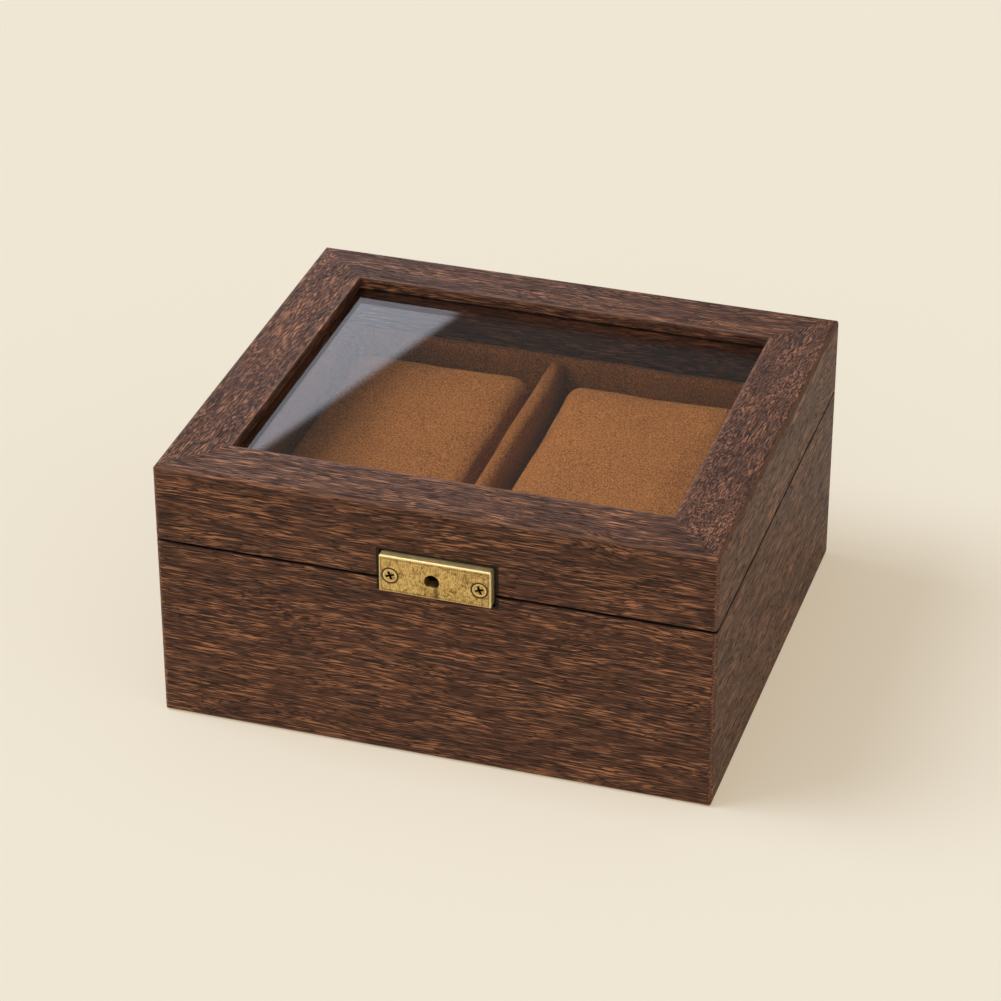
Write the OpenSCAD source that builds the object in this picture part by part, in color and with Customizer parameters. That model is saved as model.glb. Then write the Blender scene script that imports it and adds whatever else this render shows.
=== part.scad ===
// Two-place watch case: a mitred wooden box with a glazed, hinged lid, a suede lining,
// two lift-out watch pillows and a small key lock. Front is -Y, right is +X, up is +Z.
// The origin is the middle of the underside. All sizes are in millimetres.

/* [Case] */
// Outside width, left to right
case_w = 160; // [150:1:200]
// Outside depth, front to back
case_d = 140; // [120:1:180]
// Outside height with the lid shut
case_h = 80; // [76:1:100]
// Height of the base's rim
rim_z = 56.3; // [52:0.1:60]
// Gap between the rim and the lid, which shows as the dark seam
seam_gap = 0.6; // [0.4:0.1:1.2]
// Thickness of the base's walls
wall_t = 8; // [7.5:0.1:11]
// Radius of the eased outer edges
edge_r = 1.6; // [0.6:0.1:2]
// Radius of the eased edges along the seam
seam_ease = 0.35; // [0.2:0.05:0.6]

/* [Base floor] */
// Thickness of the floor panel
floor_t = 4; // [3:0.1:6]
// How far the floor panel is let into the walls
floor_let_in = 4; // [2:0.1:5]
// Thickness of the felt under the floor panel
felt_t = 0.8; // [0.5:0.1:2]
// Radius of the bumpers that the lid rests on
bumper_r = 2.5; // [1.5:0.1:3]
// Distance of the bumpers from the sides of the case
bumper_inset = 10; // [8:0.5:20]

/* [Lid] */
// Thickness of the lid's walls
lid_wall_t = 7.6; // [7:0.1:10]
// Width of the lid's top frame
rail_w = 17; // [15:0.1:22]
// Thickness of the lip that stands over the glass
lip_t = 3.4; // [2:0.1:5]
// Thickness of the glass
glass_t = 2.6; // [2:0.1:4]
// How far the glass runs in under the lip
glass_lap = 4; // [2.5:0.1:6]
// Height of the beads that hold the glass from below
bead_h = 2; // [1.5:0.1:4]
// How far the beads stand back from the lip's edge
bead_setback = 0.5; // [0.2:0.1:1.5]

/* [Lining] */
// Thickness of the suede-covered wall liners
liner_t = 3.5; // [2.5:0.1:5]
// How far the liners stand above the rim
liner_rise = 2; // [1:0.1:4]
// Thickness of the divider
divider_t = 5.2; // [4:0.1:8]
// Place of the divider, right of the case's middle
divider_x = -2.5; // [-4:0.1:4]
// How far the divider's top lies below the liners' top
divider_drop = 0.7; // [0.3:0.1:4]
// Thickness of the floor pads
pad_t = 2.2; // [1.5:0.1:4]

/* [Pillows] */
// Width of a pillow
pillow_w = 57; // [40:0.5:62]
// Gap between the divider and the right pillow, which is pushed towards it
right_pillow_gap = 1.6; // [1:0.1:5]
// Gap between a pillow and the liners in front of and behind it
pillow_gap = 3.5; // [2:0.1:8]
// How far a pillow's top edge lies below the liners' top
pillow_drop = 5; // [4:0.1:12]
// Radius of a pillow's corners, seen from above
pillow_corner_r = 6; // [5.5:0.1:12]
// Radius of the rolled edge round a pillow's top
pillow_roll_r = 5; // [3:0.1:5]
// Height of the crown in the middle of a pillow's top
pillow_crown = 1.1; // [0.5:0.1:2]
// Thickness of a pillow's cover
cover_t = 2.6; // [2.2:0.1:4]
// Thickness of the board under a pillow
board_t = 2; // [1:0.1:3]

/* [Lock] */
// Place of the key's axis, right of the case's middle
key_x = 1.2; // [-4:0.1:4]
// Width of the lock's face plate
plate_w = 32; // [31:0.1:40]
// Height of the lock's face plate
plate_h = 11.4; // [10.8:0.1:12.4]
// Thickness of the lock's face plate
plate_t = 3.2; // [2:0.1:4]
// How far the face plate is let into the wood
plate_inset = 0.8; // [0.4:0.1:1.2]
// Radius of the face plate's front edges
plate_ease = 0.7; // [0.3:0.1:0.9]
// How far the face plate stands right of the key's axis
plate_shift = 0.8; // [0.5:0.1:2]
// Height of the key's axis above the lid's lower edge
key_rise = 2.3; // [2:0.1:3]
// Height of the face plate's middle above the key's axis
plate_rise = 0.3; // [-0.5:0.1:0.5]
// Radius of the keyhole
keyhole_r = 2.15; // [1.8:0.05:2.3]
// Height of the keyhole's flat below the key's axis
keyhole_flat = 1.5; // [1.2:0.1:1.7]
// Distance between the face plate's screws
plate_screw_pitch = 25.4; // [25:0.1:27]
// Outside width of the lock's case
lock_w = 22; // [21:0.1:22.6]
// Outside height of the lock's case
lock_h = 10.2; // [10:0.1:10.8]
// Depth of the lock's case behind the face plate
lock_d = 5.2; // [5:0.1:5.6]
// Thickness of the lock case's sheet
lock_sheet = 0.8; // [0.6:0.05:0.9]
// Thickness of the spring leaf that bears on the bolt
spring_t = 0.35; // [0.25:0.05:0.5]
// Width of the spring leaf
spring_w = 3; // [2:0.1:4]
// Length of the spring leaf
spring_len = 7.2; // [6.8:0.1:7.4]
// Angle that the key turns through
key_turn = 80; // [60:1:90]
// Distance that the bolt travels
bolt_travel = 3.1; // [2.8:0.1:3.2]
// Thickness of the strike plate
strike_t = 1.2; // [1:0.1:2]
// Width of the strike plate
strike_w = 21; // [20:0.1:24]
// How far the hook reaches below the strike plate
hook_reach = 1.3; // [1:0.1:3]

/* [Hinges] */
// Distance of each hinge's middle from the nearer side of the case
hinge_inset = 35; // [26:1:45]
// Length of a hinge
hinge_len = 28; // [24:1:36]
// Thickness of a hinge's leaves
leaf_t = 1.2; // [1:0.1:1.5]
// Width of a hinge's leaves on the rim
leaf_w = 6.6; // [5.5:0.1:7]
// Radius of a hinge's barrel
barrel_r = 1.9; // [1.8:0.05:2.3]
// Radius of a hinge's pin
pin_r = 0.8; // [0.6:0.05:0.9]
// Length of a hinge's middle knuckle
knuckle_len = 11; // [8:0.1:14]
// Height of the apron that the stop tab meets
apron_h = 7; // [6:0.1:12]
// Length of the stop tab from the pin's axis
stop_len = 4.5; // [4:0.1:6]
// Angle at which the stop tab meets the apron
stop_angle = 98; // [92:0.5:110]

/* [Screws] */
// Radius of the face plate screws' heads
plate_head_r = 2.15; // [1.8:0.05:2.3]
// Radius of the small screws' heads
small_head_r = 1.5; // [1.3:0.05:1.8]
// Radius of all screws' shanks
shank_r = 0.9; // [0.7:0.05:1]
// Length of the face plate screws
plate_screw_len = 8.4; // [6:0.1:9]
// Length of the small screws
small_screw_len = 7; // [5:0.1:9]

/* [Fits] */
// Sliding and running clearance between moving lock parts
run_gap = 0.12; // [0.08:0.01:0.2]
// Clearance round a screw's shank, and between a hinge's pin and its knuckles
pin_gap = 0.05; // [0.03:0.01:0.1]
// Clearance round glass, beads, panels and pads
fit_gap = 0.3; // [0.2:0.05:0.5]
// Gap that shows round the face plate
plate_gap = 0.5; // [0.3:0.1:0.8]

/* [Hidden] */

$fn = 48;
far = 400;                                     // longer than the case, for cutting tools

wood = [0.25, 0.15, 0.11];
suede = [0.47, 0.28, 0.14];
suede_dark = [0.36, 0.21, 0.11];
brass = [0.66, 0.53, 0.27];
steel = [0.62, 0.62, 0.6];

// Heights
lid_z = rim_z + seam_gap;                      // the lid's lower edge
seam_z = rim_z + seam_gap / 2;                 // the hinge pins' height
floor_z = felt_t + floor_t;                    // the floor panel's top
lip_z = case_h - lip_t;                        // the glass's top
glass_z = lip_z - glass_t;                     // the glass's underside
frame_z = glass_z - bead_h;                    // the top frame's underside
liner_z = rim_z + liner_rise;                  // the liners' top
divider_z = liner_z - divider_drop;            // the divider's top
pad_z = floor_z + pad_t;                       // the floor pads' top

// Inner half sizes
in_x = case_w / 2 - wall_t;
in_y = case_d / 2 - wall_t;
lid_in_x = case_w / 2 - lid_wall_t;
lid_in_y = case_d / 2 - lid_wall_t;
light_x = case_w / 2 - rail_w;                 // the glazed opening
light_y = case_d / 2 - rail_w;
slot_x = in_x - liner_t;                       // the compartments' outer sides
slot_y = in_y - liner_t;

// Pillows
pillow_left_x = (slot_near(-1) - slot_x) / 2;  // in the middle of its compartment
pillow_right_x = slot_near(1) + right_pillow_gap + pillow_w / 2;
pillow_d = 2 * (slot_y - pillow_gap);
pillow_z1 = liner_z - pillow_drop;
roll_low = 50;                                 // where the roll tucks into the crease, degrees below level
tuck = pillow_roll_r * (1 - cos(roll_low));    // depth of the crease
crease_z = pillow_z1 - pillow_roll_r * (1 + sin(roll_low));

// Lock, measured sideways from the key's axis
plate_y = -case_d / 2 + plate_inset - plate_t; // the face plate's front
plate_back = plate_y + plate_t;
key_z = lid_z + key_rise;
plate_z = key_z + plate_rise;
lock_y1 = plate_back + lock_d;                 // the lock case's back
lock_z = key_z + 0.6;                          // the lock case's middle
lock_z0 = lock_z - lock_h / 2;
rotor_t = 2.1;
rotor_r = 3.1;
rotor_y = plate_back + run_gap;
socket_deep = 1.5;
spindle_r = 0.7;
drive_r = bolt_travel / (2 * sin(key_turn / 2));   // the drive pin's circle
drive_pin_r = 0.5;
drive_play = 0.16;                             // side play that lets the pin's arc drive the bolt
bolt_y = rotor_y + rotor_t + run_gap;
bolt_t = lock_y1 - lock_sheet - run_gap - bolt_y;
bolt_half = 7;
bolt_z0 = lock_z0 + lock_sheet + run_gap;
bolt_z1 = lock_z0 + lock_h - lock_sheet - run_gap;
hook_x = -3.4;                                 // the hook stem's left side
hook_w = 3;
hook_toe = 2.5;
hook_t = 1.6;
recess_gap = 0.4;                              // running room round the lock case in the rim
strike_z = lock_z0 - recess_gap;               // the strike plate's top
hook_z1 = strike_z - strike_t - 0.4;           // the toe's top
hook_z0 = hook_z1 - hook_reach;
slot_play = 0.4;                               // room round the hook in the strike plate
strike_pitch = strike_w - 4;
strike_d = 4.4;
strike_y = lock_y1 - strike_d / 2 - 0.2;

// Screws
head_land = 0.3;                               // the straight edge of a countersunk head
screw_tip = 1;                                 // the length of a screw's point

// Hinges
hinge_x = case_w / 2 - hinge_inset;
axis_y = case_d / 2 + barrel_r + fit_gap;      // the hinge pins' axis
apron_t = 1;
knuckle_gap = 0.2;
apron_face = case_d / 2 + apron_t - axis_y;    // the apron's outer face, from the axis
stop_z = (apron_face - stop_len * cos(stop_angle)) / sin(stop_angle);
stop_t = 1.3;
screw_x = hinge_len / 2 - 4.6;                 // the hinge screws, from the hinge's middle
screw_y = case_d / 2 - leaf_w / 2;

// ---------- shapes that repeat ----------

// A rectangle centred on x, from y0 to y1, with its own corner radius below and above.
module eased_rect(w, y0, y1, r0, r1) {
    translate([-w / 2 + r0, y0]) square([w - 2 * r0, y1 - y0]);
    translate([-w / 2, y0 + r0]) square([w, y1 - y0 - r0 - r1]);
    translate([-w / 2 + r1, y1 - r1 - 0.01]) square([w - 2 * r1, r1 + 0.01]);
    for (side = [-1, 1]) {
        translate([side * (w / 2 - r0), y0 + r0]) circle(r0);
        translate([side * (w / 2 - r1), y1 - r1]) circle(r1);
    }
}

// A box centred on x and y with eased upright corners, and its own easing below and above.
module eased_block(w, d, z0, z1, r0, r1) {
    intersection() {
        translate([0, 0, z0]) linear_extrude(z1 - z0) eased_rect(w, -d / 2, d / 2, edge_r, edge_r);
        translate([0, d, 0]) rotate([90, 0, 0]) linear_extrude(2 * d) eased_section(w, z0, z1, r0, r1);
        translate([-w, 0, 0]) rotate([90, 0, 90]) linear_extrude(2 * w) eased_section(d, z0, z1, r0, r1);
    }
}

// An upright section with rounded corners whose wider radius never undercuts the narrower one.
module eased_section(w, z0, z1, r0, r1) {
    intersection() {
        eased_rect(w, z0, z1 + 3, r0, r0);
        eased_rect(w, z0 - 3, z1, r1, r1);
    }
}

// The wedge of the plan that one board of a mitred frame fills: 0 front, 1 right, 2 back, 3 left.
module mitre(side, w, d) {
    reach = 30;                                // into the case, past the widest board
    past = 5;                                  // beyond the case's corners
    a = side % 2 == 0 ? w / 2 : d / 2;
    b = side % 2 == 0 ? d / 2 : w / 2;
    rotate(side * 90) translate([0, 0, -far / 2]) linear_extrude(far)
        polygon([
            [-a - past, -b - past], [a + past, -b - past], [a - reach, -b + reach], [-a + reach, -b + reach]
        ]);
}

// A compartment's side at the divider: side is -1 for the left one and 1 for the right one.
function slot_near(side) = divider_x + side * divider_t / 2;

// Places a part of the lock, which is drawn with the key's axis at x = 0.
module at_key() {
    translate([key_x, 0, 0]) children();
}

// A block from corner to corner.
module span(x0, x1, y0, y1, z0, z1) {
    translate([x0, y0, z0]) cube([x1 - x0, y1 - y0, z1 - z0]);
}

// A ring of four strips laid out between two half sizes.
module ring(x, y, inner_x, inner_y, z0, z1) {
    difference() {
        span(-x, x, -y, y, z0, z1);
        span(-inner_x, inner_x, -inner_y, inner_y, z0 - 1, z1 + 1);
    }
}

// A countersunk screw that points down from its head's top at the origin, with a cross recess.
module screw(head_r, len) {
    sink = head_r - shank_r;
    cross_w = head_r * 0.3;
    difference() {
        union() {
            translate([0, 0, -sink - head_land]) cylinder(h = sink, r1 = shank_r, r2 = head_r);
            translate([0, 0, -head_land]) cylinder(h = head_land, r = head_r);
            translate([0, 0, -len + screw_tip]) cylinder(h = len - screw_tip - sink - 0.25, r = shank_r);
            translate([0, 0, -len]) cylinder(h = screw_tip, r1 = 0.2, r2 = shank_r);
        }
        for (turn = [0, 90])
            rotate(turn + 20) translate([-head_r * 0.6, -cross_w / 2, -0.6]) cube([head_r * 1.2, cross_w, 1]);
    }
}

// The hole that takes such a screw.
module screw_hole(head_r, len) {
    sink = head_r - shank_r;
    seat_r = head_r + pin_gap;
    above = 5;                                 // clears whatever stands over the head
    translate([0, 0, -sink - head_land]) cylinder(h = sink, r1 = shank_r + pin_gap, r2 = seat_r);
    translate([0, 0, -head_land]) cylinder(h = above, r = seat_r);
    translate([0, 0, -len - head_land]) cylinder(h = len, r = shank_r + pin_gap);
}

// ---------- base ----------

module base_shell() {
    difference() {
        eased_block(case_w, case_d, 0, rim_z, edge_r, seam_ease);
        span(-in_x, in_x, -in_y, in_y, -1, rim_z + 1);
        span(-in_x - floor_let_in, in_x + floor_let_in, -in_y - floor_let_in, in_y + floor_let_in, -1, floor_z);
    }
}

// The recesses that the face plate and the lock case take in the rim and the lid.
module lock_recess(play) {
    half_w = plate_w / 2 + plate_gap;
    span(plate_shift - half_w, plate_shift + half_w, -case_d, plate_back + play,
        plate_z - plate_h / 2 - plate_gap, plate_z + plate_h / 2 + plate_gap);
    half_l = lock_w / 2 + max(play, pin_gap);
    span(plate_shift - half_l, plate_shift + half_l, -case_d, lock_y1 + max(play, pin_gap),
        lock_z0 - recess_gap, lock_z0 + lock_h + pin_gap);
}

// The recess for the strike plate, and the pocket below it in which the hook runs.
module strike_recess() {
    span(plate_shift - strike_w / 2 - pin_gap, plate_shift + strike_w / 2 + pin_gap,
        strike_y - strike_d / 2 - pin_gap, strike_y + strike_d / 2 + pin_gap, strike_z - strike_t, strike_z + 1);
    span(hook_x - slot_play, hook_x + hook_w + hook_toe + bolt_travel + slot_play,
        bolt_y - slot_play, bolt_y + hook_t + slot_play, hook_z0 - slot_play, strike_z);
}

module strike_holes() {
    for (side = [-1, 1])
        translate([plate_shift + side * strike_pitch / 2, strike_y, strike_z]) screw_hole(small_head_r, small_screw_len);
}

module base_front_wall() {
    color(wood) difference() {
        intersection() { base_shell(); mitre(0, case_w, case_d); }
        at_key() {
            lock_recess(fit_gap);
            strike_recess();
            strike_holes();
        }
    }
}

module base_back_wall() {
    color(wood) difference() {
        intersection() { base_shell(); mitre(2, case_w, case_d); }
        for (side = [-1, 1]) translate([side * hinge_x, 0, 0]) {
            span(-hinge_len / 2 - pin_gap, hinge_len / 2 + pin_gap, case_d / 2 - leaf_w - pin_gap, case_d,
                rim_z - leaf_t, rim_z + 1);
            for (end = [-1, 1])
                translate([end * screw_x, screw_y, rim_z]) screw_hole(small_head_r, small_screw_len);
        }
    }
}

module base_left_wall() { color(wood) intersection() { base_shell(); mitre(3, case_w, case_d); } }
module base_right_wall() { color(wood) intersection() { base_shell(); mitre(1, case_w, case_d); } }

module base_floor_panel() {
    x = in_x + floor_let_in - fit_gap;
    y = in_y + floor_let_in - fit_gap;
    color([0.32, 0.22, 0.16]) span(-x, x, -y, y, felt_t, floor_z);
}

module base_felt() {
    x = in_x + floor_let_in - fit_gap;
    y = in_y + floor_let_in - fit_gap;
    color([0.16, 0.12, 0.1]) span(-x, x, -y, y, 0, felt_t);
}

module rim_bumpers() {
    for (side = [-1, 1])
        color([0.1, 0.1, 0.1])
            translate([side * (case_w / 2 - bumper_inset), (wall_t - case_d) / 2, rim_z])
                cylinder(h = seam_gap - 0.1, r = bumper_r);
}

// ---------- lining ----------

// A suede-covered strip that stands on the floor panel, with a rounded top. It runs along x.
module padded_strip(len, t, z0, z1) {
    rotate([90, 0, 90]) translate([0, 0, -len / 2]) linear_extrude(len) {
        translate([-t / 2, z0]) square([t, z1 - z0 - t / 2]);
        translate([0, z1 - t / 2]) circle(t / 2);
    }
}

module liner_front() {
    color(suede_dark) translate([0, -in_y + liner_t / 2, 0]) padded_strip(2 * in_x, liner_t, floor_z, liner_z);
}
module liner_back() {
    color(suede_dark) translate([0, in_y - liner_t / 2, 0]) padded_strip(2 * in_x, liner_t, floor_z, liner_z);
}
module liner_left() {
    color(suede_dark) translate([-in_x + liner_t / 2, 0, 0]) rotate(90)
        padded_strip(2 * slot_y, liner_t, floor_z, liner_z);
}
module liner_right() {
    color(suede_dark) translate([in_x - liner_t / 2, 0, 0]) rotate(90)
        padded_strip(2 * slot_y, liner_t, floor_z, liner_z);
}
module divider() {
    color(suede_dark) translate([divider_x, 0, 0]) rotate(90)
        padded_strip(2 * slot_y, divider_t, floor_z, divider_z);
}

module floor_pad_left() { color(suede_dark) span(-slot_x, slot_near(-1), -slot_y, slot_y, floor_z, pad_z); }
module floor_pad_right() { color(suede_dark) span(slot_near(1), slot_x, -slot_y, slot_y, floor_z, pad_z); }

// ---------- pillows ----------

corner_steps = 4;                              // steps round each upright corner
side_steps = 4;                                // steps along each side

// A pillow's outline seen from above, drawn in by inset and shrunk towards its middle by scale.
function outline(inset, scale) =
    let (
        x = pillow_w / 2 - inset,
        y = pillow_d / 2 - inset,
        r = max(pillow_corner_r - inset, 0.6),
        corners = [[x - r, y - r], [r - x, y - r], [r - x, r - y], [x - r, r - y]]
    )
    [for (k = [0:3])
        let (
            last = corners[k] + r * [cos(90 * k + 90), sin(90 * k + 90)],
            next = corners[(k + 1) % 4] + r * [cos(90 * k + 90), sin(90 * k + 90)]
        )
        each concat(
            [for (j = [0:corner_steps])
                let (a = 90 * (k + j / corner_steps)) scale * (corners[k] + r * [cos(a), sin(a)])],
            [for (j = [1:side_steps - 1]) scale * (last + (next - last) * j / side_steps)]
        )
    ];

// Rings of the cover from its foot up: the swelling side, the crease, the rolled edge and the crown.
pillow_z0 = pad_z;
side_rings = [for (s = [0:0.2:0.8]) [tuck * pow(abs(2 * s - 1), 3), 1, pillow_z0 + s * (crease_z - pillow_z0)]];
roll_rings = [for (a = [-roll_low:20:90])
    [pillow_roll_r * (1 - cos(a)), 1, pillow_z1 - pillow_roll_r * (1 - sin(a))]];
crown_rings = [for (t = [0.8, 0.55, 0.3]) [pillow_roll_r, t, pillow_z1 + pillow_crown * (1 - t * t)]];
cover_rings = concat(side_rings, roll_rings, crown_rings);

module pillow_form() {
    n = 4 * (corner_steps + side_steps);
    m = len(cover_rings);
    points = concat(
        [for (ring = cover_rings) each [for (p = outline(ring[0], ring[1])) [p[0], p[1], ring[2]]]],
        [[0, 0, pillow_z1 + pillow_crown], [0, 0, pillow_z0]]
    );
    faces = concat(
        [for (i = [0:n - 1]) [i, (i + 1) % n, m * n + 1]],
        [for (k = [0:m - 2]) each [for (i = [0:n - 1]) each [
            [k * n + i, (k + 1) * n + i, k * n + (i + 1) % n],
            [k * n + (i + 1) % n, (k + 1) * n + i, (k + 1) * n + (i + 1) % n]
        ]]],
        [for (i = [0:n - 1]) [(m - 1) * n + i, m * n, (m - 1) * n + (i + 1) % n]]
    );
    polyhedron(points, faces);
}

core_x = pillow_w / 2 - tuck - cover_t;
core_y = pillow_d / 2 - tuck - cover_t;
core_z = pillow_z1 - cover_t;

module pillow_cover() {
    color(suede) difference() {
        pillow_form();
        span(-core_x, core_x, -core_y, core_y, pillow_z0 - 1, core_z);
    }
}
module pillow_core() {
    color([0.75, 0.7, 0.6]) span(-core_x, core_x, -core_y, core_y, pillow_z0 + board_t, core_z);
}
module pillow_board() {
    color([0.45, 0.38, 0.3]) span(-core_x, core_x, -core_y, core_y, pillow_z0, pillow_z0 + board_t);
}

module pillow_left_cover() { translate([pillow_left_x, 0, 0]) pillow_cover(); }
module pillow_left_core() { translate([pillow_left_x, 0, 0]) pillow_core(); }
module pillow_left_board() { translate([pillow_left_x, 0, 0]) pillow_board(); }
module pillow_right_cover() { translate([pillow_right_x, 0, 0]) pillow_cover(); }
module pillow_right_core() { translate([pillow_right_x, 0, 0]) pillow_core(); }
module pillow_right_board() { translate([pillow_right_x, 0, 0]) pillow_board(); }

// ---------- lid ----------

module lid_shell() {
    pane_x = light_x + glass_lap + fit_gap;
    pane_y = light_y + glass_lap + fit_gap;
    difference() {
        eased_block(case_w, case_d, lid_z, case_h, seam_ease, edge_r);
        span(-lid_in_x, lid_in_x, -lid_in_y, lid_in_y, lid_z - 1, frame_z);
        span(-pane_x, pane_x, -pane_y, pane_y, lid_z - 1, lip_z);
        span(-light_x, light_x, -light_y, light_y, lid_z, case_h + 1);
    }
}

module lid_front_rail() {
    color(wood) difference() {
        intersection() { lid_shell(); mitre(0, case_w, case_d); }
        at_key() {
            lock_recess(0);
            plate_screw_holes();
        }
    }
}

module lid_back_rail() {
    color(wood) difference() {
        intersection() { lid_shell(); mitre(2, case_w, case_d); }
        for (side = [-1, 1]) translate([side * hinge_x, 0, 0]) {
            span(-hinge_len / 2 - pin_gap, hinge_len / 2 + pin_gap, case_d / 2 - leaf_w - pin_gap, case_d,
                lid_z - 1, lid_z + leaf_t);
            for (end = [-1, 1])
                translate([end * screw_x, screw_y, lid_z]) rotate([180, 0, 0])
                    screw_hole(small_head_r, small_screw_len);
        }
    }
}

module lid_left_rail() { color(wood) intersection() { lid_shell(); mitre(3, case_w, case_d); } }
module lid_right_rail() { color(wood) intersection() { lid_shell(); mitre(1, case_w, case_d); } }

module glass_pane() {
    x = light_x + glass_lap;
    y = light_y + glass_lap;
    color([0.8, 0.86, 0.88, 0.35]) span(-x, x, -y, y, glass_z, lip_z);
}

module glass_beads(side) {
    x = light_x + glass_lap + fit_gap;
    y = light_y + glass_lap + fit_gap;
    color(wood) intersection() {
        ring(x, y, light_x + bead_setback, light_y + bead_setback, frame_z, glass_z);
        mitre(side, 2 * x, 2 * y);
    }
}
module glass_bead_front() { glass_beads(0); }
module glass_bead_right() { glass_beads(1); }
module glass_bead_back() { glass_beads(2); }
module glass_bead_left() { glass_beads(3); }

// ---------- lock ----------

// The keyhole's outline: round, with a flat below.
module key_outline(r, flat) {
    difference() {
        circle(r);
        translate([-r, -r - 1]) square([2 * r, r + 1 - flat]);
    }
}

module plate_screw_holes() {
    for (side = [-1, 1])
        translate([plate_shift + side * plate_screw_pitch / 2, plate_y, key_z]) rotate([90, 0, 0])
            screw_hole(plate_head_r, plate_screw_len);
}

module lock_plate() {
    color(brass) at_key() difference() {
        intersection() {
            translate([plate_shift, plate_back, plate_z]) rotate([90, 0, 0]) linear_extrude(plate_t)
                eased_rect(plate_w, -plate_h / 2, plate_h / 2, plate_ease, plate_ease);
            translate([plate_shift - plate_w, 0, plate_z]) rotate([90, 0, 90]) linear_extrude(2 * plate_w)
                plate_section(plate_h);
            translate([plate_shift, 0, plate_z - plate_h]) linear_extrude(2 * plate_h) mirror([1, -1])
                plate_section(plate_w);
        }
        translate([0, plate_back + 1, key_z]) rotate([90, 0, 0]) linear_extrude(plate_t + 2)
            key_outline(keyhole_r, keyhole_flat);
        plate_screw_holes();
    }
}

// The face plate's section across one side: depth along x, eased at the front.
module plate_section(across) {
    translate([plate_y + plate_ease, -across / 2]) square([plate_t - plate_ease, across]);
    translate([plate_y, -across / 2 + plate_ease]) square([plate_t, across - 2 * plate_ease]);
    for (side = [-1, 1])
        translate([plate_y + plate_ease, side * (across / 2 - plate_ease)]) circle(plate_ease);
}

module lock_plate_screws() {
    for (side = [-1, 1])
        color(brass) at_key() translate([plate_shift + side * plate_screw_pitch / 2, plate_y, key_z]) rotate([90, 0, 0])
            screw(plate_head_r, plate_screw_len);
}

module lock_case() {
    half = lock_w / 2;
    color(steel) at_key() difference() {
        span(plate_shift - half, plate_shift + half, plate_back, lock_y1, lock_z0, lock_z0 + lock_h);
        span(plate_shift - half + lock_sheet, plate_shift + half - lock_sheet, plate_back - 1, lock_y1 - lock_sheet,
            lock_z0 + lock_sheet, lock_z0 + lock_h - lock_sheet);
        span(hook_x - slot_play, hook_x + hook_w + bolt_travel + slot_play,
            bolt_y - run_gap, bolt_y + hook_t + run_gap, lock_z0 - 1, lock_z0 + lock_sheet + 1);
        translate([0, lock_y1 + 1, key_z]) rotate([90, 0, 0]) cylinder(h = lock_sheet + 2, r = spindle_r + pin_gap);
    }
}

// The part that the key turns: a socket in front, a spindle behind and a pin that drives the bolt.
module lock_rotor() {
    color(brass) translate([key_x, 0, key_z]) rotate([-90, 0, 0]) {
        difference() {
            translate([0, 0, rotor_y]) cylinder(h = rotor_t, r = rotor_r);
            translate([0, 0, rotor_y - 1]) linear_extrude(socket_deep + 1)
                mirror([0, 1]) key_outline(keyhole_r - 0.2, keyhole_flat - 0.2);
        }
        translate([0, 0, rotor_y + rotor_t - 0.1]) cylinder(h = lock_y1 - rotor_y - rotor_t, r = spindle_r);
        rotate(-key_turn / 2) translate([0, -drive_r, rotor_y + rotor_t - 0.1])
            cylinder(h = bolt_t + run_gap, r = drive_pin_r);
    }
}

module lock_bolt() {
    color(steel) at_key() difference() {
        union() {
            span(-bolt_half, bolt_half, bolt_y, bolt_y + bolt_t, bolt_z0, bolt_z1);
            span(hook_x, hook_x + hook_w, bolt_y, bolt_y + hook_t, hook_z0, bolt_z0 + 1);
            span(hook_x, hook_x + hook_w + hook_toe, bolt_y, bolt_y + hook_t, hook_z0, hook_z1);
        }
        spindle_slot = spindle_r + drive_play;
        span(-bolt_travel - spindle_slot, spindle_slot, bolt_y - 1, bolt_y + bolt_t + 1,
            key_z - spindle_slot, key_z + spindle_slot);
        drive_x = -drive_r * sin(key_turn / 2);
        drive_low = drive_r * cos(key_turn / 2) - drive_pin_r - drive_play;
        drive_slot = drive_pin_r + drive_play;
        span(drive_x - drive_slot, drive_x + drive_slot, bolt_y - 1, bolt_y + bolt_t + 1,
            key_z + drive_low, key_z + drive_r + drive_slot);
    }
}

// A bent leaf, seen from above, that bears on the front of the bolt and keeps it where the key leaves it.
module lock_spring() {
    x1 = plate_shift + lock_w / 2 - lock_sheet;
    foot_x = x1 - spring_len + 1.2;
    foot = bolt_y - run_gap;
    leg = foot - 0.05;
    color(steel) translate([key_x, 0, key_z - spring_w / 2]) linear_extrude(spring_w)
        polygon([
            [x1, leg], [x1, plate_back], [x1 - spring_t, plate_back], [foot_x, foot - spring_t],
            [x1 - spring_len, foot - spring_t - 0.4], [x1 - spring_len, foot - 0.4], [foot_x, foot],
            [x1 - spring_t, plate_back + 1.3 * spring_t], [x1 - spring_t, leg]
        ]);
}

module strike_plate() {
    color(brass) at_key() difference() {
        span(plate_shift - strike_w / 2, plate_shift + strike_w / 2, strike_y - strike_d / 2, strike_y + strike_d / 2,
            strike_z - strike_t, strike_z);
        span(hook_x - slot_play, hook_x + hook_w + bolt_travel + slot_play - 0.1,
            bolt_y - slot_play, bolt_y + hook_t + slot_play, 0, far);
        strike_holes();
    }
}

module strike_screws() {
    for (side = [-1, 1])
        color(brass) at_key() translate([plate_shift + side * strike_pitch / 2, strike_y, strike_z])
            screw(small_head_r, small_screw_len);
}

// ---------- hinges ----------

// One knuckle of a barrel about x, with its bore left to the caller.
module knuckle(x0, x1) {
    translate([x0, axis_y, seam_z]) rotate([0, 90, 0]) cylinder(h = x1 - x0, r = barrel_r);
}

module pin_bore() {
    translate([-hinge_len, axis_y, seam_z]) rotate([0, 90, 0]) cylinder(h = 2 * hinge_len, r = pin_r + pin_gap);
}

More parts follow.
